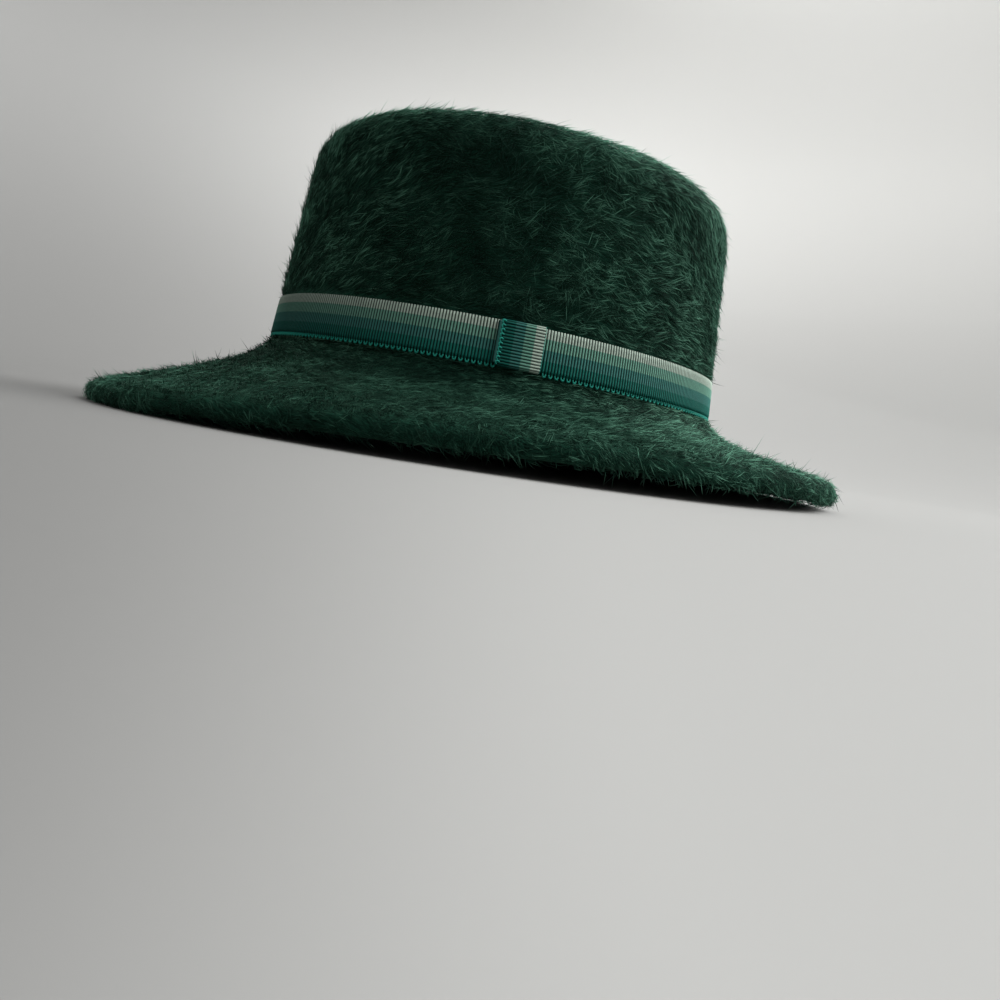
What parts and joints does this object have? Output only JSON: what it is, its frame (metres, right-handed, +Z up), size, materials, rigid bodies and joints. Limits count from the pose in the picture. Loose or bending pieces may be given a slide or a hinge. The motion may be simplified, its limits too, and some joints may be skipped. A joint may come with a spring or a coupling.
{
  "type": "flat-crowned fur felt hat",
  "caption": "Flat-topped hat of long-haired green felt with a sloping turned-under brim and a striped ribbed ribbon held by an upright keeper.",
  "frame": {"origin": "on the ground, below the middle of the hat's outline seen from above", "axes": "+Z up, front of the hat towards -Y, wearer's left towards +X"},
  "size_m": [0.3012, 0.3204, 0.1378],
  "materials": {
    "felt": "long brushed nap outside, short smooth felt inside and under the brim",
    "ribbon": "ribbed ribbon striped in cream, sage, slate and emerald"
  },
  "bodies": {
    "root": {"felt_body": "felt", "hat_band": "ribbon", "band_keeper": "ribbon", "band_fold": "ribbon"}
  },
  "joints": []
}
